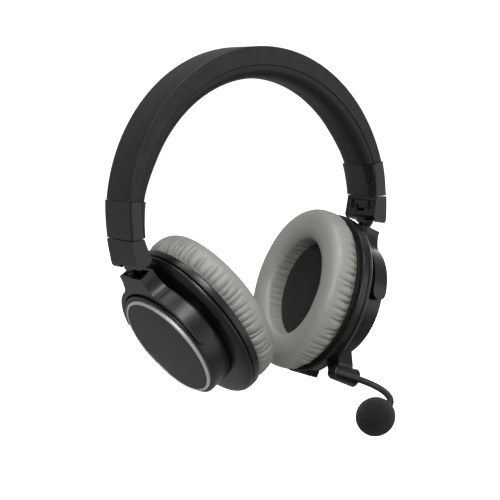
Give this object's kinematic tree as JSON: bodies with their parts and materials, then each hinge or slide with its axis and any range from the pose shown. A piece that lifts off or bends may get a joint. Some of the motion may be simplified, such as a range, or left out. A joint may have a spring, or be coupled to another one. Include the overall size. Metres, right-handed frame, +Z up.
{
  "type": "office headset",
  "caption": "On-ear office headset: padded sprung headband, two ear cups on sliding, folding and swivelling yokes, and a flexible boom microphone on one cup",
  "frame": {"origin": "the point of the headband pad that rests on the wearer's crown, midway between front and back", "axes": "+Z up, +Y behind the wearer, +X towards the wearer's left, the side of the microphone"},
  "size_m": [0.1698, 0.106, 0.2134],
  "materials": {
    "band_leatherette": "matte",
    "pad_leatherette": "matte",
    "inner_plastic": "matte",
    "spring_steel": "brushed",
    "satin_black": "satin",
    "gloss_black": "gloss",
    "screw_steel": "satin",
    "disc_grey": "satin",
    "bright_trim": "polished",
    "driver_grey": "matte",
    "speaker_cloth": "matte",
    "cushion_leatherette": "matte",
    "boom_rubber": "matte",
    "foam": "matte"
  },
  "bodies": {
    "headband": {"headband_cover": "band_leatherette", "headband_pad": "pad_leatherette", "headband_stiffener": "inner_plastic", "spring_band": "spring_steel", "sleeve_outer_shell_left": "satin_black", "sleeve_inner_shell_left": "satin_black", "sleeve_screw_left": "screw_steel", "detent_spring_left": "spring_steel", "sleeve_outer_shell_right": "satin_black", "sleeve_inner_shell_right": "satin_black", "sleeve_screw_right": "screw_steel", "detent_spring_right": "spring_steel"},
    "slider_left": {"slider_strip_left": "spring_steel", "slider_block_left": "satin_black", "hinge_knuckle_cover_left": "gloss_black", "block_screw_front_left": "screw_steel", "block_screw_back_left": "screw_steel", "hinge_pin_left": "screw_steel"},
    "slider_right": {"slider_strip_right": "spring_steel", "slider_block_right": "satin_black", "hinge_knuckle_cover_right": "gloss_black", "block_screw_front_right": "screw_steel", "block_screw_back_right": "screw_steel", "hinge_pin_right": "screw_steel"},
    "hinge_left": {"hinge_stub_left": "gloss_black", "swivel_bolt_left": "screw_steel"},
    "hinge_right": {"hinge_stub_right": "gloss_black", "swivel_bolt_right": "screw_steel"},
    "fork_left": {"yoke_left": "satin_black", "pivot_pin_front_left": "screw_steel", "pivot_pin_back_left": "screw_steel"},
    "fork_right": {"yoke_right": "satin_black", "pivot_pin_front_right": "screw_steel", "pivot_pin_back_right": "screw_steel"},
    "cup_left": {"cup_shell_left": "satin_black", "outer_disc_left": "disc_grey", "trim_ring_left": "bright_trim", "cup_rim_left": "satin_black", "baffle_left": "inner_plastic", "driver_left": "driver_grey", "speaker_cloth_left": "speaker_cloth", "ear_cushion_left": "cushion_leatherette", "mic_bracket": "satin_black", "cable_inlet": "satin_black"},
    "cup_right": {"cup_shell_right": "satin_black", "outer_disc_right": "disc_grey", "trim_ring_right": "bright_trim", "cup_rim_right": "satin_black", "baffle_right": "inner_plastic", "driver_right": "driver_grey", "speaker_cloth_right": "speaker_cloth", "ear_cushion_right": "cushion_leatherette"},
    "microphone": {"mic_swivel_drum": "gloss_black", "gooseneck": "boom_rubber", "mic_capsule": "driver_grey", "windscreen": "foam"}
  },
  "joints": [
    {"name": "size_left", "type": "hinge", "parent": "headband", "child": "slider_left", "pos_m": [-0.0271, 0, -0.0688], "axis": [0, 1, 0], "range_deg": [0, 8]},
    {"name": "size_right", "type": "hinge", "parent": "headband", "child": "slider_right", "pos_m": [0.0271, 0, -0.0688], "axis": [0, -1, 0], "range_deg": [0, 8]},
    {"name": "fold_left", "type": "hinge", "parent": "slider_left", "child": "hinge_left", "pos_m": [0.0774, 0, -0.0847], "axis": [0, 1, 0], "range_deg": [-26, 38]},
    {"name": "fold_right", "type": "hinge", "parent": "slider_right", "child": "hinge_right", "pos_m": [-0.0774, 0, -0.0847], "axis": [0, 1, 0], "range_deg": [-40, 24]},
    {"name": "swivel_left", "type": "hinge", "parent": "hinge_left", "child": "fork_left", "pos_m": [0.07443, 0, -0.09649], "axis": [0.4985, 0, 0.8669], "range_deg": [-25, 25]},
    {"name": "swivel_right", "type": "hinge", "parent": "hinge_right", "child": "fork_right", "pos_m": [-0.07488, 0, -0.09659], "axis": [-0.4648, 0, 0.8854], "range_deg": [-25, 25]},
    {"name": "tilt_left", "type": "hinge", "parent": "fork_left", "child": "cup_left", "pos_m": [0.0586, 0, -0.12401], "axis": [0.0725, 0.9965, -0.0417], "range_deg": [-1.5, 10.5]},
    {"name": "tilt_right", "type": "hinge", "parent": "fork_right", "child": "cup_right", "pos_m": [-0.06012, 0, -0.1247], "axis": [0, 1, 0], "range_deg": [-5, 7]},
    {"name": "mic_swivel", "type": "hinge", "parent": "cup_left", "child": "microphone", "pos_m": [0.0354, -0.02983, -0.1673], "axis": [-0.901, 0.0834, 0.4256], "range_deg": [-120, 90]}
  ]
}
